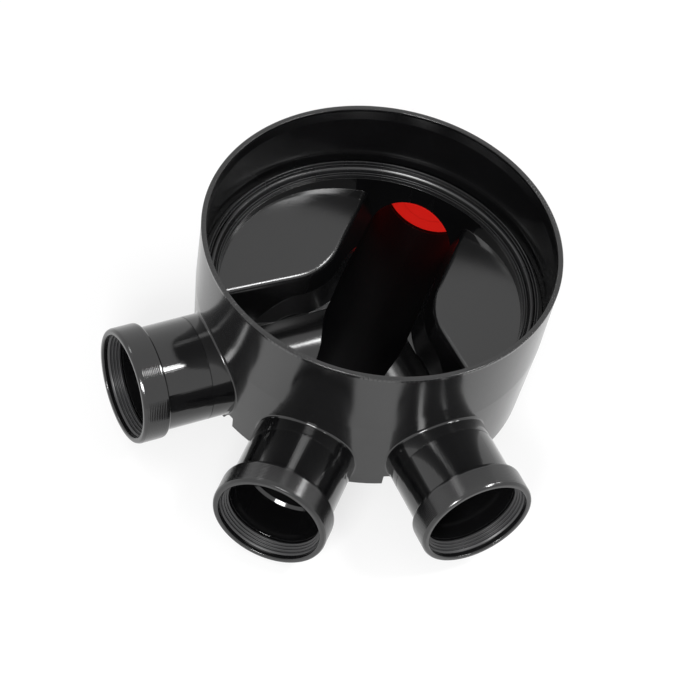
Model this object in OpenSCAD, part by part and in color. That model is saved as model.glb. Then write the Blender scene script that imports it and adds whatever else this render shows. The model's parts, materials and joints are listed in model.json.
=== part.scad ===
// Drain inspection chamber base: a moulded body with a straight main channel, two side branches,
// a riser socket on top, four ring-sealed pipe sockets and a plug in the rear one.
// Millimetres, +Z up. The origin is on the chamber's axis, on the ground it stands on.
// The main channel runs from the rear (+Y) to the front (-Y).

/* [Pipes] */
// Outer diameter of the drain pipes that the sockets take
pipe_d = 110; // [90:1:125]
// Radial room between a drain pipe and its socket
pipe_clearance = 0.25; // [0.15:0.05:0.6]
// Outer diameter of the riser pipe that stands in the top
riser_pipe_d = 400; // [380:1:420]
// Radial room between the riser pipe and the riser socket
riser_clearance = 2.5; // [1:0.25:4]

/* [Body] */
// Outer diameter at the rim
rim_d = 420; // [418:1:440]
// Width of the flat top of the rim
rim_flat = 5; // [3:0.5:7]
// Height of the lead-in cone under the rim
lead_in_h = 15; // [5:1:30]
// Depth of the riser socket, from the rim to the ledge
riser_depth = 95; // [85:1:130]
// Outer diameter at the level of the ledge
mid_d = 414; // [412:1:416]
// Outer diameter at the lower edge of the skirt
base_d = 398; // [390:1:406]
// Height of the skirt's lower edge above the ground
skirt_z = 40; // [25:1:50]
// Wall thickness of the skirt
skirt_wall = 4; // [3:0.25:4.5]
// Thickness of the ledge that the riser seal lies on
ledge_t = 5; // [4:0.5:7]
// Inner diameter of the chamber under the ledge
chamber_d = 360; // [350:1:370]
// Thickness of the chamber's shell: its inner wall, benching and channels
shell_t = 5; // [4:0.25:6]
// Width of the notches in the skirt beside the side sockets
notch_w = 16; // [6:1:18]
// Height of the notches
notch_h = 15; // [6:1:18]
// Distance from a side socket's axis to the notch beside it
notch_off = 50; // [46:1:76]

/* [Channels] */
// Diameter of the channels and of the bores that lead to the sockets
channel_d = 104; // [96:1:106]
// Height of the side channels above the main one
side_rise = 20; // [0:1:30]
// Height from the crown of a side channel to the underside of the ledge
crown_gap = 1; // [0.5:0.5:5]
// Angle between the front socket and each side socket
branch_angle = 45; // [42:1:50]
// How much wider each side of a channel is at the benching than at its straight sides
flare_w = 15; // [10:1:18]
// Height of the flared sides
flare_h = 30; // [25:1:36]

/* [Benching] */
// Drop from the ledge to the inner corner of a bench
bench_drop = 32; // [27:1:34]
// Slope of a bench towards the channels, in degrees
bench_slope = 12; // [3:0.5:13]
// Plan radius of a bench's inner corner
bench_corner_r = 90; // [40:1:95]
// Radius of the rounded edge of a bench
bench_edge_r = 9; // [6:0.5:10]
// Depth below a bench where its nose starts to spread into a toe between the channels
bench_toe_depth = 24; // [20:1:35]
// Slope of that toe: spread over depth
bench_toe_slope = 1.1; // [0.9:0.1:1.4]
// How far the benches are shifted away from the side channels, towards the rear one
bench_shift = 7.5; // [0:0.5:9]

/* [Foot and ribs] */
// Gap between the ground and the lowest socket cap
ground_gap = 3.5; // [2:0.5:10]
// Outer diameter of the foot ring
foot_d = 304; // [280:2:316]
// Height of the foot ring
foot_h = 60; // [50:1:70]
// Thickness of the foot ring
foot_t = 5; // [4:0.5:7]
// Ribs under each bench
bench_ribs = 4; // [2:2:6]
// Angle between two neighbouring ribs
rib_step = 20; // [10:1:20]
// Thickness of the ribs
rib_t = 3.5; // [2.5:0.25:5]
// Height of the ribs' lower edge above the ground
rib_z = 45; // [42:1:55]

/* [Sockets] */
// Length of the neck, from the skirt's lower edge to the joint with the socket
neck_len = 23; // [18:1:50]
// Depth that a pipe goes into a socket, from its mouth to the stop
socket_depth = 70; // [60:1:72]
// Wall thickness of a socket's barrel
barrel_wall = 6.25; // [5.5:0.25:7.5]
// Thickness of the stop ring at the bottom of a socket
stop_t = 3.5; // [2:0.5:6]
// Length of the spigot on the body that a socket is welded over
spigot_len = 14.5; // [8:0.5:16]
// Wall thickness of that spigot
spigot_wall = 6; // [4.5:0.25:6.5]
// Radial gap of the weld between spigot and socket
weld_gap = 0.1; // [0.05:0.05:0.3]
// How far a socket's bell, under its cap, stands proud of the barrel
bell_rise = 4.3; // [3.7:0.1:4.9]
// Length of the bell
bell_len = 22; // [20:1:26]
// Depth of the seal's seat in the bell
seat_len = 17; // [14:0.5:18]
// Wall thickness of the bell round the seat
bell_wall = 3.3; // [2.5:0.1:3.8]

/* [Socket caps and seals] */
// Wall thickness of a retaining cap
cap_wall = 2.5; // [2:0.25:5]
// Length of a retaining cap
cap_len = 32; // [31:0.5:36]
// How far a cap's front wall reaches in over the seal
cap_lip = 5; // [4.5:0.25:7]
// Thickness of a cap's front wall
cap_front_t = 6; // [4:0.5:8]
// Radial room between cap and bell
cap_clearance = 0.2; // [0.1:0.05:0.3]
// Height of the snap bead inside a cap
snap_h = 0.7; // [0.5:0.1:1]
// Width of the snap bead
snap_w = 3; // [2:0.5:4]
// Gap between a seal and its seat, on every side
seal_gap = 0.1; // [0.05:0.05:0.2]
// Lips of a socket seal
seal_lips = 4; // [2:1:5]
// Radial room between the seal's last lip and the pipe
lip_clearance = 0.35; // [0.25:0.05:0.6]
// Depth of the grooves between the lips
lip_groove = 1.1; // [0.6:0.1:1.6]
// Thickness of a seal's outer ring at the bottom of the seat
seal_heel = 2.5; // [2:0.25:3.5]

/* [Riser seal] */
// Height of the seal's seat above the ledge
rseal_seat_h = 22; // [22:1:30]
// How much wider the seat is than the riser socket above it, in radius
rseal_seat_step = 1; // [0.75:0.25:1.5]
// Thickness of the seal's base
rseal_base_t = 3; // [2:0.5:5]
// Radial room between the riser seal and its seat
rseal_gap = 0.2; // [0.1:0.1:0.5]
// Inset of the seal's inner edge from the chamber's wall
rseal_inset = 1.5; // [0.5:0.5:4]
// Thickness of the two thin lips
rseal_lip_t = 2; // [1.5:0.25:3]
// Height of the outer lip above the ledge
rseal_outer_h = 13; // [11:1:18]
// Distance from the seal's outer edge to its outer lip
rseal_lip_inset = 6; // [0:1:8]
// Height of the inner lip above the ledge
rseal_inner_h = 4.5; // [4.5:0.5:8]
// Radius of the thick middle lip
rseal_bead_r = 3.5; // [3:0.25:4]
// Height of the middle lip's crown above the ledge
rseal_bead_h = 11; // [9:1:16]

/* [Blanking plug] */
// Radial room between the plug and the socket
plug_clearance = 0.3; // [0.2:0.05:0.5]
// Thickness of the plug's wall and inner face
plug_t = 3.2; // [2.5:0.1:4]
// Outer diameter of the plug's flange
plug_flange_d = 130; // [128:1:136]
// Thickness of the flange
plug_flange_t = 4; // [3:0.5:6]
// Gap between the plug's face and the stop
plug_stop_gap = 0.5; // [0.2:0.1:1]
// Thickness of the grip bar across the plug
plug_bar_t = 6; // [4:0.5:8]
// Length of the grip bar inwards from the flange
plug_bar_len = 24; // [16:1:40]

/* [Hidden] */
$fn = 96;

// Overlap that makes cuts run clear of a surface
eps = 1;
// How far the rounded nose of a bench stands proud of its sides, to meet them in clean lines
nose_proud = 0.05;
// Size of the small chamfers on turned edges
chamfer = 0.8;

channel_r = channel_d / 2;
chamber_r = chamber_d / 2;
rim_r = rim_d / 2;
mid_r = mid_d / 2;
base_r = base_d / 2;
riser_r = riser_pipe_d / 2 + riser_clearance;
rseal_seat_r = riser_r + rseal_seat_step;
socket_r = pipe_d / 2 + pipe_clearance;
barrel_r = socket_r + barrel_wall;
bell_r = barrel_r + bell_rise;
cap_bore_r = bell_r + cap_clearance;
cap_r = cap_bore_r + cap_wall;
mouth_r = cap_bore_r - cap_lip;
spigot_r = channel_r + spigot_wall;

// Heights, from the ground up
main_z = ground_gap + cap_r;
side_z = main_z + side_rise;
ledge_z = side_z + channel_r + ledge_t + crown_gap;
body_h = ledge_z + riser_depth;
bench_z = ledge_z - bench_drop;

// Directions of the sockets round the chamber, counted from +X
front_az = -90;
rear_az = 90;
left_az = front_az - branch_angle;
right_az = front_az + branch_angle;

// The benches fill the wide corners between the rear channel and each side channel
bench_angle = 180 - branch_angle;
// Half the width of a channel where it meets a bench
bench_w = channel_r + flare_w;
flare_slope = flare_w / flare_h;
flare_deg = atan(flare_slope);
// Depth below a bench's surface that is shaped with it
bench_depth = 2 * flare_h;
// Level below which the channels alone set the shape
cut_z = bench_z - bench_depth + flare_h / 2;
// Distance from the axis to the centre of a bench's corner, and to its nearest point
bench_centre = (bench_w + bench_corner_r) / sin(bench_angle / 2);
bench_tip = bench_centre - bench_corner_r;
// Lower edge of the inner wall, which carries the bores
ring_z = main_z - channel_r / 4;

// Stations along a socket, from the chamber's axis
joint_x = base_r + neck_len;
neck_end = joint_x + spigot_len;
stop_x = neck_end + stop_t;
socket_reach = stop_x + socket_depth;
cap_x = socket_reach - cap_len;
bell_end = socket_reach - cap_front_t - cap_clearance;
bell_x = bell_end - bell_len;
seat_x = bell_end - seat_len;
seat_r = bell_r - bell_wall;
snap_x = (bell_x + bell_end) / 2;

// Places a shape drawn along +Z so that it runs out along one of the channels
module along(az, z) {
    rotate([0, 0, az]) translate([0, 0, z]) rotate([0, 90, 0]) children();
}

// Tube-shaped blank of a channel: round below and straight-sided above its axis
module channel_blank(az, z, r, len, side_r) {
    along(az, z) cylinder(r = r, h = len);
    intersection() {
        rotate([0, 0, az]) translate([0, -r, z]) cube([chamber_d, 2 * r, bench_z - z]);
        cylinder(r = side_r, h = body_h);
    }
}

module all_channels(r, len, side_r) {
    channel_blank(front_az, main_z, r, len, side_r);
    channel_blank(rear_az, main_z, r, len, side_r);
    channel_blank(left_az, side_z, r, len, side_r);
    channel_blank(right_az, side_z, r, len, side_r);
}

// Section of a bench's edge: flat top, rounded edge, flared side and a foot of its own slope. X is
// the distance from the centre of the bench's corner and Y the height over its surface.
module bench_profile(corner_r, back_x, foot_slope) {
    // distance from the sharp edge to where the rounding starts
    back = bench_edge_r * tan((90 - flare_deg) / 2);
    polygon([
        [back_x, 0],
        [corner_r - back, 0],
        [corner_r + back * sin(flare_deg), -back * cos(flare_deg)],
        [corner_r + bench_toe_depth * flare_slope, -bench_toe_depth],
        [corner_r + bench_toe_depth * flare_slope + (bench_depth - bench_toe_depth) * foot_slope,
            -bench_depth],
        [back_x, -bench_depth]
    ]);
    translate([corner_r - back, -bench_edge_r]) circle(r = bench_edge_r);
}

// Places a shape in the tilted frame of a bench: the origin is the centre of its corner, on its
// surface, and +X runs up the slope. side is 1 for the left bench and -1 for the right one.
module on_bench(side) {
    rotate([0, 0, rear_az + side * bench_angle / 2])
        translate([bench_tip, -side * bench_shift, bench_z]) rotate([0, -bench_slope, 0])
            translate([bench_corner_r, 0, 0]) children();
}

// A bench is the sum of a wedge, a rounded nose and two sides
module bench_wedge() {
    half = bench_angle / 2;
    translate([0, 0, -bench_depth]) linear_extrude(bench_depth) polygon([
        [0, 0],
        [rim_d * cos(half), rim_d * sin(half)],
        [rim_d * cos(half), -rim_d * sin(half)]
    ]);
}

module bench_nose() {
    rotate_extrude() bench_profile(bench_corner_r + nose_proud, 0, bench_toe_slope);
}

module bench_side() {
    rotate([0, 0, bench_angle / 2]) rotate([90, 0, 90]) linear_extrude(rim_d)
        bench_profile(bench_corner_r, -bench_corner_r / 2, flare_slope);
}

module bench_other_side() {
    mirror([0, 1, 0]) bench_side();
}

// One plane of the hollow under a bench, parallel to the flared side that faces turn
module hollow_side(turn) {
    top_r = bench_corner_r + shell_t * (flare_slope - 1 / cos(flare_deg));
    low = bench_depth - shell_t;
    rotate([0, 0, turn]) rotate([90, 0, 90]) translate([0, 0, -rim_d]) linear_extrude(2 * rim_d)
        polygon([[-rim_d, 0], [top_r, 0], [top_r + low * flare_slope, -low], [-rim_d, -low]]);
}

// Hollow under a bench: a shell's thickness inside its two sides, its nose and its surface
module bench_hollow(side) {
    on_bench(side) translate([0, 0, -shell_t]) intersection() {
        hollow_side(bench_angle / 2);
        mirror([0, 1, 0]) hollow_side(bench_angle / 2);
        hollow_side(90);
    }
}

// Ridge between the front channel and a side channel, bounded by their two flared sides
module ridge_side(inset) {
    shift = inset / cos(flare_deg);
    low = bench_z - bench_depth;
    rotate([90, 0, 90]) linear_extrude(rim_d) polygon([
        [bench_w - bench_depth * flare_slope + shift, low],
        [bench_w + bench_drop * flare_slope + shift, ledge_z],
        [rim_d, ledge_z],
        [rim_d, low]
    ]);
}

module ridge(side, inset) {
    half = branch_angle / 2;
    rotate([0, 0, front_az - side * half]) intersection() {
        rotate([0, 0, -half]) ridge_side(inset);
        rotate([0, 0, half]) mirror([0, 1, 0]) ridge_side(inset);
    }
}

// Skirt, riser socket, ledge and inner wall, turned in one piece
module outer_shell() {
    rotate_extrude() polygon([
        [base_r - skirt_wall, skirt_z],
        [base_r, skirt_z],
        [mid_r, ledge_z],
        [rim_r, body_h - chamfer],
        [rim_r - chamfer, body_h],
        [rim_r - rim_flat, body_h],
        [riser_r, body_h - lead_in_h],
        [riser_r, ledge_z + rseal_seat_h + rseal_seat_step],
        [rseal_seat_r, ledge_z + rseal_seat_h],
        [rseal_seat_r, ledge_z],
        [chamber_r, ledge_z],
        [chamber_r, ring_z],
        [chamber_r + shell_t, ring_z],
        [chamber_r + shell_t, ledge_z - ledge_t],
        [mid_r - skirt_wall, ledge_z - ledge_t]
    ]);
}

// Shells of the benches and ridges: a disc across the chamber, less the hollows under them. The
// open space takes away what stands above them.
module bench_shells() {
    low = cut_z - shell_t;
    difference() {
        translate([0, 0, low]) cylinder(r = chamber_r + shell_t / 2, h = ledge_z - ledge_t / 4 - low);
        bench_hollow(1);
        bench_hollow(-1);
        ridge(1, shell_t);
        ridge(-1, shell_t);
    }
}

// The room above and between the benches, down to where the channels take over
module open_space() {
    difference() {
        translate([0, 0, cut_z]) cylinder(r = chamber_r, h = body_h);
        on_bench(1) bench_wedge();
        on_bench(1) bench_nose();
        on_bench(1) bench_side();
        on_bench(1) bench_other_side();
        on_bench(-1) bench_wedge();
        on_bench(-1) bench_nose();
        on_bench(-1) bench_side();
        on_bench(-1) bench_other_side();
        ridge(1, 0);
        ridge(-1, 0);
    }
}

module rib_fan(az) {
    for (i = [0 : bench_ribs - 1])
        rotate([0, 0, az + (i - (bench_ribs - 1) / 2) * rib_step])
            translate([bench_tip, -rib_t / 2, rib_z])
                cube([rim_r, rib_t, ledge_z - ledge_t / 2 - rib_z]);
}

module ribs() {
    intersection() {
        union() {
            rib_fan(rear_az + bench_angle / 2);
            rib_fan(rear_az - bench_angle / 2);
        }
        translate([0, 0, skirt_z])
            cylinder(r1 = base_r - skirt_wall / 2, r2 = mid_r - skirt_wall / 2, h = ledge_z - skirt_z);
    }
}

module foot_ring() {
    difference() {
        cylinder(d = foot_d, h = foot_h);
        translate([0, 0, -eps]) cylinder(d = foot_d - 2 * foot_t, h = foot_h + 2 * eps);
    }
}

// The outside of a stub: it leaves the skirt and ends in the spigot for the socket
module stub(az, z) {
    difference() {
        along(az, z) {
            translate([0, 0, chamber_r]) cylinder(r = barrel_r, h = joint_x - chamber_r);
            translate([0, 0, chamber_r]) cylinder(r = spigot_r, h = neck_end - chamber_r);
        }
        // its crown stays out of the riser socket
        translate([0, 0, ledge_z - ledge_t / 2])
            cylinder(r = rseal_seat_r + skirt_wall / 4, h = body_h);
    }
}

module notch(az) {
    rotate([0, 0, az]) translate([chamber_r, -notch_w / 2, skirt_z - eps])
        cube([rim_r - chamber_r, notch_w, notch_h + eps]);
}

// The turned shell with a notch in its skirt beside each side socket
module notched_shell() {
    notch_az = asin(notch_off / base_r);
    difference() {
        outer_shell();
        notch(left_az + notch_az);
        notch(right_az - notch_az);
    }
}

module chamber_body() {
    color([0.09, 0.09, 0.1]) difference() {
        union() {
            notched_shell();
            bench_shells();
            all_channels(channel_r + shell_t, chamber_r + shell_t, chamber_r + shell_t / 2);
            ribs();
            foot_ring();
            stub(front_az, main_z);
            stub(rear_az, main_z);
            stub(left_az, side_z);
            stub(right_az, side_z);
        }
        open_space();
        all_channels(channel_r, socket_reach, chamber_r);
    }
}

// Ring seal at the bottom of the riser socket: a base, two thin lips and a thick middle lip
module riser_seal() {
    out_r = rseal_seat_r - rseal_gap;
    in_r = chamber_r + rseal_inset;
    lip_r = out_r - rseal_lip_inset;
    bead_x = (in_r + lip_r) / 2;
    color([0.16, 0.16, 0.17]) translate([0, 0, ledge_z]) rotate_extrude() {
        translate([in_r, 0]) square([out_r - in_r, rseal_base_t]);
        translate([lip_r - rseal_lip_t, 0]) square([rseal_lip_t, rseal_outer_h - rseal_lip_t / 2]);
        translate([lip_r - rseal_lip_t / 2, rseal_outer_h - rseal_lip_t / 2])
            circle(d = rseal_lip_t);
        translate([bead_x - rseal_bead_r, 0])
            square([2 * rseal_bead_r, rseal_bead_h - rseal_bead_r]);
        translate([bead_x, rseal_bead_h - rseal_bead_r]) circle(r = rseal_bead_r);
        translate([in_r, 0]) square([rseal_lip_t, rseal_inner_h - rseal_lip_t / 2]);
        translate([in_r + rseal_lip_t / 2, rseal_inner_h - rseal_lip_t / 2])
            circle(d = rseal_lip_t);
    }
}

// Pipe socket: welded over the body's spigot, with a stop, a barrel and a bell for the seal
module socket(az, z) {
    color([0.1, 0.1, 0.11]) along(az, z) rotate_extrude() polygon([
        [spigot_r + weld_gap, joint_x],
        [barrel_r, joint_x],
        [barrel_r, bell_x],
        [bell_r, bell_x + (bell_r - barrel_r) / 2],
        [bell_r, snap_x - snap_w],
        [bell_r - snap_h, snap_x - snap_w + snap_h],
        [bell_r - snap_h, snap_x + snap_w - snap_h],
        [bell_r, snap_x + snap_w],
        [bell_r, bell_end - chamfer],
        [bell_r - chamfer, bell_end],
        [seat_r, bell_end],
        [seat_r, seat_x],
        [socket_r + chamfer, seat_x],
        [socket_r, seat_x - chamfer],
        [socket_r, stop_x],
        [channel_r, stop_x],
        [channel_r, neck_end],
        [spigot_r + weld_gap, neck_end]
    ]);
}

// Lip seal: the lips step inwards from the mouth to the pipe
function lip_points(last_r, front_x, pitch) = [
    for (i = [0 : seal_lips - 1])
        let (crest = mouth_r + (last_r - mouth_r) * (i + 1) / seal_lips,
             x = front_x - (i + 1) * pitch)
        each [[crest, x], [crest + lip_groove, x - pitch / 4]]
];

module socket_seal(az, z) {
    back_x = seat_x + seal_gap;
    front_x = bell_end - seal_gap;
    pitch = (front_x - back_x) / (seal_lips + 1);
    last_r = pipe_d / 2 + lip_clearance;
    color([0.2, 0.2, 0.21]) along(az, z) rotate_extrude() polygon(concat(
        [[seat_r - seal_gap, back_x], [seat_r - seal_gap, front_x], [mouth_r, front_x]],
        lip_points(last_r, front_x, pitch),
        [[seat_r - seal_gap - seal_heel, back_x]]
    ));
}

// Snap-on cap that holds the seal in the bell
module socket_cap(az, z) {
    color([0.08, 0.08, 0.09]) along(az, z) rotate_extrude() polygon([
        [cap_bore_r, cap_x],
        [cap_r - chamfer, cap_x],
        [cap_r, cap_x + chamfer],
        [cap_r, socket_reach - 2 * chamfer],
        [cap_r - 2 * chamfer, socket_reach],
        [mouth_r + chamfer, socket_reach],
        [mouth_r, socket_reach - chamfer],
        [mouth_r, bell_end + cap_clearance],
        [cap_bore_r, bell_end + cap_clearance],
        [cap_bore_r, snap_x + snap_w / 2],
        [cap_bore_r - snap_h, snap_x + snap_w / 2 - snap_h],
        [cap_bore_r - snap_h, snap_x - snap_w / 2 + snap_h],
        [cap_bore_r, snap_x - snap_w / 2]
    ]);
}

// Red cup that closes the rear socket, with a flange and a grip bar
module blanking_plug() {
    plug_r = socket_r - plug_clearance;
    face_x = stop_x + plug_stop_gap;
    flange_x = socket_reach + seal_gap;
    end_x = flange_x + plug_flange_t;
    color([0.8, 0.05, 0.05]) along(rear_az, main_z) {
        rotate_extrude() polygon([
            [0, face_x],
            [plug_r - 2 * chamfer, face_x],
            [plug_r, face_x + 2 * chamfer],
            [plug_r, flange_x],
            [plug_flange_d / 2, flange_x],
            [plug_flange_d / 2, end_x - chamfer],
            [plug_flange_d / 2 - chamfer, end_x],
            [plug_r - plug_t, end_x],
            [plug_r - plug_t, face_x + plug_t],
            [0, face_x + plug_t]
        ]);
        translate([-plug_bar_t / 2, -plug_r + plug_t / 2, end_x - plug_bar_len])
            cube([plug_bar_t, 2 * plug_r - plug_t, plug_bar_len - chamfer]);
    }
}

chamber_body();
riser_seal();
blanking_plug();
socket(front_az, main_z);  // front_socket
socket(left_az, side_z);  // left_socket
socket(right_az, side_z);  // right_socket
socket(rear_az, main_z);  // rear_socket
socket_seal(front_az, main_z);  // front_seal
socket_seal(left_az, side_z);  // left_seal
socket_seal(right_az, side_z);  // right_seal
socket_seal(rear_az, main_z);  // rear_seal
socket_cap(front_az, main_z);  // front_cap
socket_cap(left_az, side_z);  // left_cap
socket_cap(right_az, side_z);  // right_cap
socket_cap(rear_az, main_z);  // rear_cap
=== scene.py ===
# %% [markdown]
# # A drain inspection chamber, dressed for a render
# This lesson takes the solid model of a plastic drain inspection chamber and gives it the looks of
# the real thing: glossy black moulded plastic, ribbed rubber seals, snap-on caps and a red plug.
# The solid model is the frame. It's never changed: some of its nodes get a better material, and
# others are replaced by pieces with rounder edges and finer detail, in exactly the same places.

# %% Load the frame
import json
import math

import bpy
from mathutils import Matrix, Vector

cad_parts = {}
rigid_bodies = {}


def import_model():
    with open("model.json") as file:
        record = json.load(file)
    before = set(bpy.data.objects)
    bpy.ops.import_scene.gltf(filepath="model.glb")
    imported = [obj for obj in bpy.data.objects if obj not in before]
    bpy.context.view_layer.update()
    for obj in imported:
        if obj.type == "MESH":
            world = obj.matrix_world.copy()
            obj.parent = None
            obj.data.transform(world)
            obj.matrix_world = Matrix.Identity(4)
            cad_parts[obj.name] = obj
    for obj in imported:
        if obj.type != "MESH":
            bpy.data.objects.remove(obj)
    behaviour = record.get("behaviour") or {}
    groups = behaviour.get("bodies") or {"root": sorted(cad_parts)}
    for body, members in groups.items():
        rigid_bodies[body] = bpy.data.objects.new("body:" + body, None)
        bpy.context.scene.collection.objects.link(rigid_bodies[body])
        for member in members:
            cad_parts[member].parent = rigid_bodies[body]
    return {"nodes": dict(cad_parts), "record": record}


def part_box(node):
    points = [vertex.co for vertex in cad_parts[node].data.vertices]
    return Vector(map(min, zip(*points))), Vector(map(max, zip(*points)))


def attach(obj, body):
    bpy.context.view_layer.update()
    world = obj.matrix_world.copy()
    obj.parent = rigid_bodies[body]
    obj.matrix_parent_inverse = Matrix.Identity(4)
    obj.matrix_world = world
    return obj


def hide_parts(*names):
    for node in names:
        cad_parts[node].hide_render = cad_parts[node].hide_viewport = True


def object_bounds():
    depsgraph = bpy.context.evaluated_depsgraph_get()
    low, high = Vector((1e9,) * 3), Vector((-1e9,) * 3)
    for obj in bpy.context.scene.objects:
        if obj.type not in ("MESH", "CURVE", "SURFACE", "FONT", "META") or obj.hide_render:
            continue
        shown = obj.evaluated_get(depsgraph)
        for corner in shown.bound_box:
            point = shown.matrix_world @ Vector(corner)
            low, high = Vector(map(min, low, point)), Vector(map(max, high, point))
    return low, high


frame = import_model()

MM = 0.001
record = frame["record"]
nodes = frame["nodes"]
cad_low, cad_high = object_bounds()
print("frame:", len(nodes), "nodes, box", [round(v / MM, 1) for v in (*cad_low, *cad_high)])

# %% [markdown]
# Four sockets leave the chamber. Their directions and heights are read from the frame, so that each
# new piece lands on its solid. A main channel runs from rear to front, and the two side sockets
# stand a little higher. Directions are angles round the chamber's axis, from +X.

# %% Where the sockets are
mounts = {m["name"]: m for m in record["mounts"]}


def direction_of(axis):
    return math.atan2(axis[1], axis[0])


def axis_height(node):
    low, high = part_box(node)
    return (low.z + high.z) / 2


front_way = direction_of(mounts["front_pipe"]["axis"])
SOCKETS = {
    "front": (front_way, axis_height("front_cap")),
    "left": (direction_of(mounts["left_pipe"]["axis"]), axis_height("left_cap")),
    "right": (direction_of(mounts["right_pipe"]["axis"]), axis_height("right_cap")),
    "rear": (front_way + math.pi, axis_height("rear_cap")),
}
for side, (way, height) in SOCKETS.items():
    print(side, "socket at", round(math.degrees(way)), "degrees, axis", round(height / MM, 1), "mm up")

# %% [markdown]
# The sizes that show in the solids' boxes are read from the frame: the front socket points along -Y,
# so its pieces' stations are Y values and their radii are half their widths. The sizes inside are the
# solid model's own values, in millimetres. A piece that replaces a solid follows both, and only
# rounds or refines what lies between.

# %% Sizes of the sockets and the chamber
def stations(name):
    """Where a piece of the front socket starts and ends, and its radius, all in millimetres."""
    low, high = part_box(name)
    # the solids are drawn in tenths of a millimetre, and their round faces in short flats
    return [round(v / MM, 1) for v in (-high.y, -low.y, (high.x - low.x) / 2)]


FIT = 0.1  # the gap that the solid model leaves round a seal and under the plug's flange
CAP_X, REACH, CAP_R = stations("front_cap")
JOINT_X, BELL_END, BELL_R = stations("front_socket")
seal_back, seal_front, seal_r = stations("front_seal")
SEAT_X, SEAT_R = seal_back - FIT, seal_r + FIT
BARREL_R = 61.5
SPIGOT_R = 58.1
BORE_R = 55.25
CHANNEL_R = 52.0
NECK_END = 236.5
STOP_X = 240.0
BELL_X = 281.8
MOUTH_R = 61.0

RIM_Z = cad_high.z / MM
RIM_R = 210.0
MID_R = 207.0
BASE_R = 199.0
SKIRT_Z = 40.0
CHAMBER_R = 180.0
LEDGE_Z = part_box("riser_seal")[0].z / MM
SEAL_OUT_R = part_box("riser_seal")[1].x / MM
MAIN_Z = axis_height("front_cap") / MM
print("mouths", round(REACH, 1), "mm out, rim", round(RIM_Z, 1), "mm up, ledge", round(LEDGE_Z, 1))

# %% [markdown]
# ## Helpers
# Nearly every piece here was turned or moulded round an axis, so one helper does what a lathe does.
# A single vertex is extruded from point to point to draw half a section, its corners are rounded
# with a vertex bevel, and the section is spun a full turn round Z. Spinning can leave the faces
# pointing inwards, so the seam is merged and the normals are worked out again at the end.

# %% A lathe
TURN_STEPS = 160


def deselect_all():
    for o in bpy.context.selected_objects:
        o.select_set(False)


def start_vertex(name, x, z):
    """A new mesh of one vertex, in edit mode: a small plane merged to its middle."""
    deselect_all()
    bpy.ops.mesh.primitive_plane_add(size=MM, location=(0, 0, 0))
    piece = bpy.context.object
    piece.name = name
    bpy.ops.object.mode_set(mode="EDIT")
    bpy.ops.mesh.select_all(action="SELECT")
    bpy.ops.mesh.merge(type="CENTER")
    bpy.ops.transform.translate(value=(x * MM, 0, z * MM))
    return piece


def turned(name, section, rounding=0.5, steps=TURN_STEPS, round_segments=3, angle=28):
    """Spins a closed section of (radius, height) points, in millimetres, round the Z axis."""
    piece = start_vertex(name, *section[0])
    for (x0, z0), (x1, z1) in zip(section, section[1:]):
        step = ((x1 - x0) * MM, 0, (z1 - z0) * MM)
        bpy.ops.mesh.extrude_region_move(TRANSFORM_OT_translate={"value": step})
    bpy.ops.mesh.select_all(action="SELECT")
    if section[0][0] > 0:
        # close the section: its two loose ends are joined by an edge
        bpy.ops.object.mode_set(mode="OBJECT")
        last = len(piece.data.vertices) - 1
        for v in piece.data.vertices:
            v.select = v.index in (0, last)
        bpy.ops.object.mode_set(mode="EDIT")
        bpy.ops.mesh.select_mode(type="VERT")
        bpy.ops.mesh.edge_face_add()
    bpy.ops.mesh.select_all(action="SELECT")
    if rounding:
        bpy.ops.mesh.bevel(
            offset=rounding * MM, affect="VERTICES", segments=round_segments, clamp_overlap=True
        )
        bpy.ops.mesh.select_all(action="SELECT")
    bpy.ops.mesh.spin(steps=steps, angle=math.tau, center=(0, 0, 0), axis=(0, 0, 1))
    bpy.ops.mesh.select_all(action="SELECT")
    bpy.ops.mesh.remove_doubles(threshold=0.004 * MM)
    bpy.ops.mesh.normals_make_consistent(inside=False)
    bpy.ops.object.mode_set(mode="OBJECT")
    bpy.ops.object.shade_smooth_by_angle(angle=math.radians(angle))
    print(name, len(piece.data.polygons), "faces")
    return piece


# %% [markdown]
# The socket pieces are turned once, round Z, and then laid along each socket's axis. Every copy gets
# a mesh of its own, and its place is applied to the mesh, because a pattern on object coordinates
# would otherwise turn with it.

# %% Laying pieces along a socket
def apply_place(piece):
    deselect_all()
    piece.select_set(True)
    bpy.context.view_layer.objects.active = piece
    bpy.ops.object.transform_apply(location=True, rotation=True, scale=True)


def lay_along(piece, side, last=False):
    """Lays a turned piece, or a copy of it, along the axis of a socket. +Z becomes outwards."""
    if not last:
        copy = piece.copy()
        copy.data = piece.data.copy()
        bpy.context.collection.objects.link(copy)
        piece = copy
    way, height = SOCKETS[side]
    piece.rotation_euler = (0, math.pi / 2, way)
    piece.location = (0, 0, height)
    apply_place(piece)
    return piece


def dress_sockets(pattern, kind, material):
    """Copies a pattern to all four sockets, in place of their CAD nodes of this kind."""
    for side in SOCKETS:
        piece = lay_along(pattern, side, last=side == "rear")
        piece.name = piece.data.name = f"{side}_{kind}_dressed"
        piece.data.materials.clear()
        piece.data.materials.append(material)
        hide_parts(f"{side}_{kind}")
        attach(piece, "root")
    print(kind, "laid on", len(SOCKETS), "sockets")


# %% [markdown]
# ## Materials
# Moulded polypropylene is never quite flat: its gloss varies in slow patches, a fine grain breaks the
# highlights, and handling leaves hairline scratches. One builder makes all the hard plastics from
# those three, each at its own strength. Colours and the values that don't vary are set straight on
# the shader's sockets.

# %% A builder for moulded plastic
PLASTIC_IOR = 1.62
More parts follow.
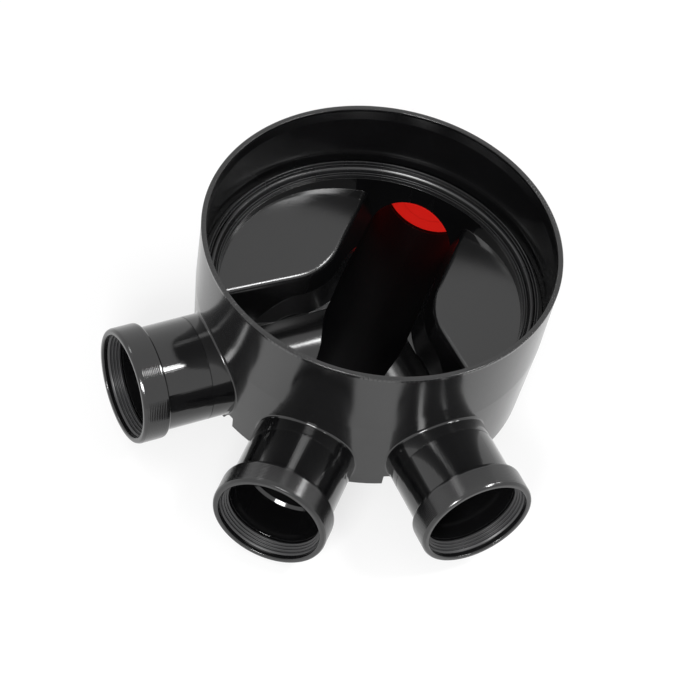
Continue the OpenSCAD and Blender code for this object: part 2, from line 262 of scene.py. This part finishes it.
# Noise scales, in features a metre or so, from the slowest to the finest
MARKS_SCALE, PATCH_SCALE, WAVE_SCALE, SCRATCH_SCALE, GRAIN_SCALE = 6.0, 11.0, 16.0, 60.0, 900.0
HAIRLINE_ROUGHNESS = 0.10
WAVE_STRENGTH, GRAIN_STRENGTH = 0.5, 0.25


def node(tree, kind, **settings):
    n = tree.nodes.new(kind)
    for name, value in settings.items():
        if name in n.inputs:
            n.inputs[name].default_value = value
        else:
            setattr(n, name, value)
    return n


def noise(tree, coords, scale, detail=2.0, stretch=None, roughness=0.5):
    n = node(tree, "ShaderNodeTexNoise", Scale=scale, Detail=detail, Roughness=roughness)
    if stretch:
        m = node(tree, "ShaderNodeMapping", Scale=stretch)
        tree.links.new(coords, m.inputs["Vector"])
        coords = m.outputs["Vector"]
    tree.links.new(coords, n.inputs["Vector"])
    return n.outputs["Fac"]


def ranged(tree, value, low, high, from_low=0.3, from_high=0.7):
    n = node(tree, "ShaderNodeMapRange")
    n.inputs["From Min"].default_value = from_low
    n.inputs["From Max"].default_value = from_high
    n.inputs["To Min"].default_value = low
    n.inputs["To Max"].default_value = high
    tree.links.new(value, n.inputs["Value"])
    return n.outputs["Result"]


def bump(tree, height, distance, strength, below=None):
    n = node(tree, "ShaderNodeBump", Strength=strength, Distance=distance * MM)
    tree.links.new(height, n.inputs["Height"])
    if below is not None:
        tree.links.new(below, n.inputs["Normal"])
    return n.outputs["Normal"]


def added(tree, a, b):
    n = node(tree, "ShaderNodeMath", operation="ADD")
    tree.links.new(a, n.inputs[0])
    tree.links.new(b, n.inputs[1])
    return n.outputs["Value"]


def moulded_plastic(name, colour, worn_colour, gloss, wave=0.35, grain=0.05, edge=0.0, lines=0.0):
    """gloss is (lowest, highest) roughness; wave, grain and lines are bump depths in millimetres."""
    material = bpy.data.materials.new(name)
    material.use_nodes = True
    tree = material.node_tree
    shader = tree.nodes["Principled BSDF"]
    coords = node(tree, "ShaderNodeTexCoord").outputs["Object"]

    patches = noise(tree, coords, PATCH_SCALE, detail=4.0)
    scratches = noise(
        tree, coords, SCRATCH_SCALE, detail=6.0, stretch=(1.0, 9.0, 5.0), roughness=0.7
    )
    # only the crests of the stretched noise count, which leaves thin separate lines
    hairlines = ranged(tree, scratches, 0.0, HAIRLINE_ROUGHNESS, from_low=0.62, from_high=0.72)
    roughness = added(tree, ranged(tree, patches, *gloss), hairlines)
    tree.links.new(roughness, shader.inputs["Roughness"])

    mix = node(tree, "ShaderNodeMix", data_type="RGBA")
    mix.inputs["A"].default_value = (*colour, 1)
    mix.inputs["B"].default_value = (*worn_colour, 1)
    worn = ranged(tree, patches, 0.0, 1.0, from_low=0.35, from_high=0.75)
    tree.links.new(worn, mix.inputs["Factor"])
    tree.links.new(mix.outputs["Result"], shader.inputs["Base Color"])

    below = None
    if edge:
        below = node(tree, "ShaderNodeBevel", samples=4, Radius=edge * MM).outputs["Normal"]
    slow = bump(tree, noise(tree, coords, WAVE_SCALE, detail=1.0), wave, WAVE_STRENGTH, below)
    if lines:
        # long in plan and fine in height: the drawn-out marks of a mould opened upwards
        marks = noise(tree, coords, MARKS_SCALE, detail=5.0, stretch=(1.0, 1.0, 45.0))
        slow = bump(tree, marks, lines, WAVE_STRENGTH, slow)
    fine = bump(tree, noise(tree, coords, GRAIN_SCALE, detail=3.0), grain, GRAIN_STRENGTH, slow)
    tree.links.new(fine, shader.inputs["Normal"])
    shader.inputs["IOR"].default_value = PLASTIC_IOR
    return material


# %% [markdown]
# The body is the satin one: benches and walls show soft, wide reflections. The sockets and caps are
# separate mouldings with a higher polish. The rubber of the seals is duller, with a bloom of grey.
# The plug is a clear signal red. The main channel gets painted shade: a darker black that hardly
# reflects.

# %% The finishes
body_black = moulded_plastic(
    "body_black", (0.0030, 0.0030, 0.0032), (0.0045, 0.0045, 0.0048), (0.12, 0.20),
    edge=1.0, lines=0.06,
)
socket_black = moulded_plastic(
    "socket_black", (0.0025, 0.0025, 0.0027), (0.0040, 0.0040, 0.0043), (0.05, 0.10), wave=0.15
)
cap_black = moulded_plastic(
    "cap_black", (0.0035, 0.0035, 0.0037), (0.0060, 0.0060, 0.0063), (0.10, 0.17), wave=0.10
)
plug_red = moulded_plastic(
    "plug_red", (0.95, 0.016, 0.010), (0.90, 0.018, 0.012), (0.30, 0.40), wave=0.2
)
seal_rubber = moulded_plastic(
    "seal_rubber", (0.014, 0.014, 0.015), (0.024, 0.024, 0.025), (0.34, 0.46),
    wave=0.10, grain=0.08,
)
riser_rubber = moulded_plastic(
    "riser_rubber", (0.006, 0.006, 0.0065), (0.010, 0.010, 0.0105), (0.24, 0.34), wave=0.15
)
# painted shade: a darker black with almost no specular reflection, for the main channel, its flanks
# and the rear bore
painted_shade_black = moulded_plastic(
    "painted_shade_black", (0.0020, 0.0020, 0.0022), (0.0030, 0.0030, 0.0032), (0.40, 0.52)
)
painted_shade_shader = painted_shade_black.node_tree.nodes["Principled BSDF"]
painted_shade_shader.inputs["Specular IOR Level"].default_value = 0.03
finishes = (body_black, socket_black, cap_black, plug_red, seal_rubber, riser_rubber, painted_shade_black)
for finish in finishes:
    print("finish", finish.name, len(finish.node_tree.nodes), "nodes")

# %% [markdown]
# ## The body
# The body is one large moulding whose shape is right as it stands, down to the rounded edges of the
# benches. It keeps its CAD mesh and gets the satin finish, whose normals are rounded a little at the
# sharp edges. Two kinds of face get another finish: the stubs are as glossy as the sockets welded to
# them. The main channel, the benches' flanks beside it and the rear bore get painted shade: a darker
# black that hardly reflects.

# %% Finish the body
body = nodes["chamber_body"]
SATIN, GLOSSY, PAINTED_SHADE = range(3)
NEAR = 0.6  # how far, in millimetres, the middle of a facet may lie off the true cylinder
STUB_X = BASE_R - 20.0  # the stubs begin about here
FLANK_X = 78.0  # the flanks of the benches along the main channel reach out this far
FLANK_LEAN = 0.5  # and lean no more than this: the rounded edges above them stay satin
BORE_Y = 150.0  # the rear bore begins behind this
body.data.materials.clear()
for material in (body_black, socket_black, painted_shade_black):
    body.data.materials.append(material)


def finish_of(polygon):
    """The finish of one face of the body, from where it lies."""
    centre, normal = polygon.center / MM, polygon.normal
    for way, height in SOCKETS.values():
        out = centre.x * math.cos(way) + centre.y * math.sin(way)
        beside = centre.x * math.sin(way) - centre.y * math.cos(way)
        off = math.hypot(beside, centre.z - height / MM)
        if out > STUB_X and abs(off - BARREL_R) < NEAR:
            return GLOSSY
    # the main channel's bottom, the benches' flanks beside it and the rear bore get the painted-shade
    # finish
    off = math.hypot(centre.x, centre.z - MAIN_Z)
    bottom = centre.z < MAIN_Z and abs(off - CHANNEL_R) < NEAR
    inside = math.hypot(centre.x, centre.y) < CHAMBER_R + 1 and MAIN_Z <= centre.z < LEDGE_Z
    flank = inside and abs(centre.x) < FLANK_X and normal.z < FLANK_LEAN
    bore = centre.y > BORE_Y and off < CHANNEL_R + NEAR
    return PAINTED_SHADE if bottom or flank or bore else SATIN


counts = [0, 0, 0]
for polygon in body.data.polygons:
    polygon.material_index = finish_of(polygon)
    counts[polygon.material_index] += 1
print("body: satin, glossy and dull triangles", counts)

# %% [markdown]
# The top of a moulded wall ends in a rounded lip. It catches a thin line of light all the way round,
# which is what draws the big ellipse of the rim. The lip is turned as a ring that sits over the rim
# and stands a few tenths of a millimetre proud of it.

# %% The rim's lip
PROUD = 0.35
LIP_STEPS = 256
rim_lip = turned(
    "rim_lip",
    [
        (RIM_R + PROUD, RIM_Z - 1.2),
        (RIM_R + PROUD, RIM_Z + PROUD),
        (RIM_R - 5.6, RIM_Z + PROUD),
        (RIM_R - 6.0, RIM_Z - 4.0),
        (RIM_R - 3.0, RIM_Z - 4.0),
        (RIM_R - 3.0, RIM_Z - 6.0),
        (RIM_R - PROUD, RIM_Z - 6.0),
    ],
    rounding=1.1,
    steps=LIP_STEPS,
)
rim_lip.data.materials.append(body_black)
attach(rim_lip, "root")

# %% [markdown]
# Where a round stub leaves the conical wall, the mould has a small radius, and the light runs along
# it in a bright thread. The meeting line of a cylinder and a cone has a simple formula, so the fillet
# is lofted: at each step round the stub, an arc that touches both surfaces, with its back edge
# buried in the wall. The line ends where the stub passes under the skirt.

# %% Fillets where the stubs meet the wall
FILLET_R = 2.6
FILLET_STEPS = 120
ARC_STEPS = 7
SKIRT_ROOM = 0.5  # how far above the skirt's lower edge the fillet ends
FILLET_PROUD = 0.04
FILLET_ROOT = 0.8  # how deep the back edge of the fillet is buried


def wall_radius(z):
    if z < LEDGE_Z:
        return BASE_R + (MID_R - BASE_R) * (z - SKIRT_Z) / (LEDGE_Z - SKIRT_Z)
    return MID_R + (RIM_R - MID_R) * (z - LEDGE_Z) / (RIM_Z - LEDGE_Z)


def fillet_ring(turn, height):
    """One section of the fillet, in the frame of a socket that points along +X."""
    off_stub = Vector((0, math.cos(turn), math.sin(turn)))
    y, z = BARREL_R * off_stub.y, height + BARREL_R * off_stub.z
    r = wall_radius(z)
    corner = Vector((math.sqrt(r * r - y * y), y, z))
    lean = wall_radius(z) - wall_radius(z - 1)
    off_wall = Vector((corner.x / r, corner.y / r, -lean)).normalized()
    reach = FILLET_R / (1 + off_stub.dot(off_wall))
    centre = corner + (off_stub + off_wall) * reach
    ring = []
    for i in range(ARC_STEPS + 1):
        t = i / ARC_STEPS
        ring.append(centre - off_stub.slerp(off_wall, t) * (FILLET_R + FILLET_PROUD))
    ring.append(corner - (off_stub + off_wall) * FILLET_ROOT)
    return ring


def loft(name, rings):
    """Skins a row of sections that all have the same number of points, and closes both ends."""
    count = len(rings[0])
    verts = [v * MM for ring in rings for v in ring]
    faces = []
    for a in range(0, len(verts) - count, count):
        b = a + count
        for j in range(count):
            k = (j + 1) % count
            faces.append((a + j, a + k, b + k, b + j))
    faces.append(tuple(range(count)))
    faces.append(tuple(reversed(range(len(verts) - count, len(verts)))))
    mesh = bpy.data.meshes.new(name)
    mesh.from_pydata(verts, [], faces)
    piece = bpy.data.objects.new(name, mesh)
    bpy.context.collection.objects.link(piece)
    deselect_all()
    piece.select_set(True)
    bpy.context.view_layer.objects.active = piece
    bpy.ops.object.mode_set(mode="EDIT")
    bpy.ops.mesh.select_all(action="SELECT")
    bpy.ops.mesh.normals_make_consistent(inside=False)
    bpy.ops.object.mode_set(mode="OBJECT")
    bpy.ops.object.shade_smooth_by_angle(angle=math.radians(50))
    return piece


for side, (way, height) in SOCKETS.items():
    # the stub is free of the wall below the skirt's lower edge
    start = math.asin((SKIRT_Z + SKIRT_ROOM - height / MM) / BARREL_R)
    turns = [start + (math.pi - 2 * start) * i / FILLET_STEPS for i in range(FILLET_STEPS + 1)]
    fillet = loft(f"{side}_fillet", [fillet_ring(t, height / MM) for t in turns])
    fillet.rotation_euler = (0, 0, way)
    apply_place(fillet)
    fillet.data.materials.append(socket_black)
    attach(fillet, "root")
print("fillets of", FILLET_R, "mm on", len(SOCKETS), "stubs")

# %% [markdown]
# ## The riser seal
# A ring of rubber lies on the ledge. The riser pipe presses on its thick middle lip, and thin lips
# beside it wipe the wall. The section is drawn with its grooves and turned in one piece.

# %% The riser seal
# (distance in from the outer edge, height over the ledge): base, outer lip, wiper, bead, two ribs
SEAL_SECTION = [
    (0.0, 0.05), (0.0, 2.9),
    (5.6, 2.9), (6.0, 12.8), (7.6, 12.8), (7.9, 8.0),
    (8.7, 8.0), (9.0, 10.4), (10.0, 10.4), (10.2, 6.0),
    (10.9, 9.2), (12.4, 10.9), (15.4, 10.9), (17.0, 8.6), (17.3, 3.0),
    (18.2, 2.8), (18.4, 5.6), (19.4, 5.6), (19.6, 2.6),
    (20.4, 2.6), (20.6, 4.4), (21.8, 4.4), (21.8, 0.05),
]
riser_seal = turned(
    "riser_seal_dressed",
    [(SEAL_OUT_R - inset, LEDGE_Z + up) for inset, up in SEAL_SECTION],
    rounding=0.6,
    steps=LIP_STEPS,
    angle=40,
)
riser_seal.data.materials.append(riser_rubber)
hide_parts("riser_seal")
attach(riser_seal, "root")

# %% [markdown]
# ## The sockets
# Each socket is a tube welded over the body's spigot. Its outside shows a hairline where the two
# meet, a plain barrel, and the swelling of the bell under the cap. Inside, the bore ends in a stop
# with a slanted face, which catches the light in an open mouth.

# %% The socket barrels
WELD_GAP = 0.05
STOP_LAND = 0.3  # what is left of the stop's bore inside its cone
socket_pattern = turned(
    "socket_pattern",
    [
        (SPIGOT_R, JOINT_X + WELD_GAP),
        (BARREL_R - 0.5, JOINT_X + WELD_GAP),
        (BARREL_R, JOINT_X + 0.7),
        (BARREL_R, BELL_X - 1.0),
        (BELL_R, BELL_X + 2.2),
        (BELL_R, BELL_END),
        (SEAT_R, BELL_END),
        (SEAT_R, SEAT_X),
        (BORE_R, SEAT_X),
        (BORE_R, STOP_X),
        (CHANNEL_R, NECK_END + STOP_LAND),
        (CHANNEL_R, NECK_END),
        (SPIGOT_R, NECK_END),
    ],
    rounding=0.45,
)
dress_sockets(socket_pattern, "socket", socket_black)

# %% [markdown]
# The cap snaps over the bell and holds the seal. Its outside carries fine turned lines that break up
# the highlights, a soft shoulder at the back, and a well-rounded front edge.

# %% The caps
CAP_BORE_R = BELL_R + 0.2  # the cap's room over the bell
FRONT_T = 6.0
LINES_FROM, LINES_TO = CAP_X + 4.0, REACH - 6.0
LINE_PITCH = 2.1
LINE_DEPTH = 0.14
LAND_END, GROOVE_AT = 0.62, 0.81  # as shares of the pitch
cap_outline = [(CAP_BORE_R, CAP_X), (CAP_R - 1.4, CAP_X), (CAP_R - 0.3, CAP_X + 1.4)]
line_x = LINES_FROM
while line_x < LINES_TO:
    cap_outline += [
        (CAP_R, line_x),
        (CAP_R, line_x + LINE_PITCH * LAND_END),
        (CAP_R - LINE_DEPTH, line_x + LINE_PITCH * GROOVE_AT),
    ]
    line_x += LINE_PITCH
cap_outline += [
    (CAP_R, REACH - 3.6),
    (CAP_R - 1.2, REACH - 0.9),
    (CAP_R - 2.6, REACH),
    (MOUTH_R + 1.3, REACH),
    (MOUTH_R + 0.3, REACH - 0.8),
    (MOUTH_R, REACH - 2.2),
    (MOUTH_R, REACH - FRONT_T),
    (CAP_BORE_R, REACH - FRONT_T),
]
cap_pattern = turned("cap_pattern", cap_outline, rounding=0.28, round_segments=2, angle=35)
dress_sockets(cap_pattern, "cap", cap_black)

# %% [markdown]
# The seal's lips step inwards from the mouth to the pipe, each with a rounded crest and a groove
# behind it. In the open sockets they show as fine rings just inside the mouth.

# %% The socket seals
LIPS = 4
LAST_LIP_R = 55.35
SEAL_HEEL = 2.5
pitch = (seal_front - seal_back) / (LIPS + 1)
seal_outline = [(seal_r, seal_back), (seal_r, seal_front), (MOUTH_R, seal_front)]
for i in range(LIPS):
    crest = MOUTH_R + (LAST_LIP_R - MOUTH_R) * (i + 1) / LIPS
    x = seal_front - (i + 1) * pitch
    seal_outline += [
        (crest + 0.1, x + pitch * 0.38),
        (crest, x),
        (crest + 1.1, x - pitch * 0.22),
        (crest + 0.9, x - pitch * 0.42),
    ]
seal_outline.append((seal_r - SEAL_HEEL, seal_back))
seal_pattern = turned("seal_pattern", seal_outline, rounding=0.4, angle=30)
dress_sockets(seal_pattern, "seal", seal_rubber)

# %% [markdown]
# ## The plug
# The rear socket is closed by a red cup. From above only a sliver of its inner face shows through the
# bore. From behind it has a rounded flange, a hollow, and a bar across it to pull it out by.

# %% The plug
PLUG_R = 54.95
PLUG_T = 3.2
HOLLOW_R = PLUG_R - PLUG_T
LEAD_IN = 1.6
FACE_X = STOP_X + 0.5
DISC_R, DISC_EDGE_R, DISC_UP = 34.0, 35.2, 0.6  # a disc in the middle of the face stands proud
FLANGE_R = 65.0
FLANGE_X = REACH + FIT
FLANGE_END = FLANGE_X + 4.0
plug_shell = turned(
    "plug_shell",
    [
        (0, FACE_X),
        (DISC_R, FACE_X),
        (DISC_EDGE_R, FACE_X + DISC_UP),
        (PLUG_R - 3.0, FACE_X + DISC_UP),
        (PLUG_R, FACE_X + 3.4),
        (PLUG_R, FLANGE_X),
        (FLANGE_R, FLANGE_X),
        (FLANGE_R, FLANGE_END),
        (HOLLOW_R + LEAD_IN, FLANGE_END),
        (HOLLOW_R, FLANGE_END - LEAD_IN),
        (HOLLOW_R, FACE_X + PLUG_T + DISC_UP),
        (DISC_EDGE_R, FACE_X + PLUG_T + DISC_UP),
        (DISC_R, FACE_X + PLUG_T),
        (0, FACE_X + PLUG_T),
    ],
    rounding=0.7,
)

# %% [markdown]
# The grip bar starts as a cube, scaled to a flat bar, waisted in the middle for the fingers, and
# rounded with a bevel modifier that is applied. It's then joined to the shell as one moulding.

# %% The plug's grip bar
BAR_T, BAR_LEN = 6.0, 24.0
BAR_SETBACK = 1.2  # how far the bar's outer edge lies inside the flange's face
WAIST, FLARE = 0.72, 0.5  # its thickness in the middle, and what is added at the ends, as shares
deselect_all()
bar_middle = FLANGE_END - BAR_SETBACK / 2 - BAR_LEN / 2
bpy.ops.mesh.primitive_cube_add(size=1, location=(0, 0, bar_middle * MM))
grip = bpy.context.object
grip.scale = (BAR_T * MM, 2 * (PLUG_R - PLUG_T / 2) * MM, (BAR_LEN - BAR_SETBACK) * MM)
apply_place(grip)
bpy.ops.object.mode_set(mode="EDIT")
bpy.ops.mesh.select_all(action="SELECT")
bpy.ops.mesh.subdivide(number_cuts=6)
bpy.ops.object.mode_set(mode="OBJECT")
for v in grip.data.vertices:
    across = abs(v.co.y) / (PLUG_R * MM)
    v.co.x *= WAIST + FLARE * across**2
rounded = grip.modifiers.new("rounded", "BEVEL")
rounded.width, rounded.segments, rounded.limit_method = 1.2 * MM, 3, "ANGLE"
rounded.angle_limit = math.radians(50)
bpy.ops.object.modifier_apply(modifier="rounded")
bpy.ops.object.shade_smooth_by_angle(angle=math.radians(40))
plug_shell.select_set(True)
grip.select_set(True)
bpy.context.view_layer.objects.active = plug_shell
bpy.ops.object.join()
plug = lay_along(plug_shell, "rear", last=True)
plug.name = plug.data.name = "blanking_plug_dressed"
plug.data.materials.clear()
plug.data.materials.append(plug_red)
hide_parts("blanking_plug")
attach(plug, "root")
print("plug", len(plug.data.polygons), "faces")

# %% [markdown]
# ## The studio
# The chamber stands on a wide white floor under a white sky, so its glossy walls have something
# pale to reflect. What the camera and the glossy walls see of the floor and the sky is plain white,
# apart from a part of the floor's own shading, which keeps the chamber's shadow on it.

# %% A white that only shows
def seen_rays(tree):
    """1 for rays from the camera, off glossy surfaces or through clear ones, 0 for the others."""
    rays = node(tree, "ShaderNodeLightPath").outputs
    either = added(tree, rays["Is Camera Ray"], rays["Is Glossy Ray"])
    seen = added(tree, either, rays["Is Transmission Ray"])
    seen.node.use_clamp = True
    return seen


# %% [markdown]
# The floor is one large plane of white paper. A mix with plain white light, for the seen rays only,
# lifts its shown colour towards white. The soft light that it sends up to the chamber stays as it is.

# %% The floor
FLOOR_SIZE, FLOOR_DROP = 30.0, 0.2 * MM  # metres; the drop keeps it off the foot's own face
FLOOR_WHITE = 0.92
SHOWN_WHITE = 0.72
deselect_all()
bpy.ops.mesh.primitive_plane_add(size=FLOOR_SIZE, location=(0, 0, -FLOOR_DROP))
floor = bpy.context.object
floor.name = "studio_floor"
paper = bpy.data.materials.new("floor_white")
paper.use_nodes = True
paper_tree = paper.node_tree
paper_shader = paper_tree.nodes["Principled BSDF"]
paper_shader.inputs["Base Color"].default_value = (FLOOR_WHITE, FLOOR_WHITE, FLOOR_WHITE, 1)
paper_shader.inputs["Roughness"].default_value = 0.9
paper_shader.inputs["Specular IOR Level"].default_value = 0.1
white = node(paper_tree, "ShaderNodeEmission", Strength=1.0)
share = node(paper_tree, "ShaderNodeMath", operation="MULTIPLY")
paper_tree.links.new(seen_rays(paper_tree), share.inputs[0])
share.inputs[1].default_value = SHOWN_WHITE
blend = node(paper_tree, "ShaderNodeMixShader")
paper_tree.links.new(share.outputs["Value"], blend.inputs["Fac"])
paper_tree.links.new(paper_shader.outputs["BSDF"], blend.inputs[1])
paper_tree.links.new(white.outputs["Emission"], blend.inputs[2])
paper_out = paper_tree.nodes["Material Output"]
paper_tree.links.new(blend.outputs["Shader"], paper_out.inputs["Surface"])
floor.data.materials.append(paper)
print("floor", FLOOR_SIZE, "m across")

# %% [markdown]
# The sky shows as plain white. It lights the chamber a little less than that, which leaves room for
# the lamps before pale surfaces would clip.

# %% The sky
SKY_LIGHT = 0.75
world = bpy.data.worlds.new("white_sky")
bpy.context.scene.world = world
world.use_nodes = True
sky_tree = world.node_tree
sky = sky_tree.nodes["Background"]
sky.inputs["Color"].default_value = (1, 1, 1, 1)
sky_level = ranged(sky_tree, seen_rays(sky_tree), SKY_LIGHT, 1.0, from_low=0.0, from_high=1.0)
sky_tree.links.new(sky_level, sky.inputs["Strength"])
print("sky shows as 1.0 and lights as", SKY_LIGHT)

# %% [markdown]
# Black plastic shows its shape through reflections, not through shade, so four soft boxes are placed
# for the highlights that they draw: two on the right, a faint one on the left, and a wide one in
# front, which also reaches the plug at the back of the chamber.

# %% The soft boxes
TARGET = Vector((0, 0, 0.15))


def soft_box(name, way, up, distance, size, power):
    """An area lamp that faces the chamber. way and up are in degrees, size and distance in metres."""
    a, e = math.radians(way), math.radians(up)
    back = Vector((math.cos(e) * math.cos(a), math.cos(e) * math.sin(a), math.sin(e)))
    lamp = bpy.data.lights.new(name, "AREA")
    lamp.shape, lamp.size, lamp.size_y, lamp.energy = "RECTANGLE", size[0], size[1], power
    holder = bpy.data.objects.new(name, lamp)
    bpy.context.collection.objects.link(holder)
    holder.location = TARGET + back * distance
    holder.rotation_euler = (-back).to_track_quat("-Z", "Y").to_euler()
    print("lamp", name, power, "W")


soft_box("edge_light", way=8, up=56, distance=2.6, size=(0.65, 0.36), power=24)
soft_box("corner_light", way=36, up=45, distance=2.6, size=(0.60, 0.36), power=10)
soft_box("left_light", way=172, up=50, distance=2.6, size=(0.60, 0.40), power=4)
soft_box("front_light", way=-88, up=34, distance=2.8, size=(0.90, 0.60), power=60)

# %% [markdown]
# ## The camera
# The chamber is seen from above its front, with a long lens and the picture tipped a little, as a
# hand-held view of a part on a table often is.

# %% The camera
LENS, SENSOR = 148.3, 36.0
CAM_DISTANCE = 3.315  # from the middle of the rim
CAM_UP = math.radians(47.32)
CAM_WAY = math.radians(-79.43)
CAM_TURN = math.radians(10.57)
YAW, PITCH, ROLL = math.radians(-0.25), math.radians(49.64), math.radians(12.4)
forward = Vector((math.sin(YAW) * math.cos(PITCH), math.cos(YAW) * math.cos(PITCH), -math.sin(PITCH)))
level = Vector((math.cos(YAW), -math.sin(YAW), 0))
upright = level.cross(forward)
across = level * math.cos(ROLL) + upright * math.sin(ROLL)
tipped = upright * math.cos(ROLL) - level * math.sin(ROLL)
aim = Matrix((across, tipped, -forward)).transposed()
camera_data = bpy.data.cameras.new("camera")
camera_data.lens, camera_data.sensor_width = LENS, SENSOR
camera_data.clip_start, camera_data.clip_end = 0.1, 100
camera = bpy.data.objects.new("camera", camera_data)
bpy.context.collection.objects.link(camera)
place = Vector(
    (math.cos(CAM_UP) * math.cos(CAM_WAY), math.cos(CAM_UP) * math.sin(CAM_WAY), math.sin(CAM_UP))
)
camera.location = place * CAM_DISTANCE + Vector((0, 0, RIM_Z * MM))
camera.rotation_euler = (Matrix.Rotation(CAM_TURN, 3, "Z") @ aim).to_euler()
bpy.context.scene.camera = camera
bpy.context.scene.view_settings.view_transform = "Standard"
print("camera at", [round(v, 3) for v in camera.location])

# %% [markdown]
# The dressed part may not grow past the solids, apart from a few tenths of a millimetre on rounded
# edges.
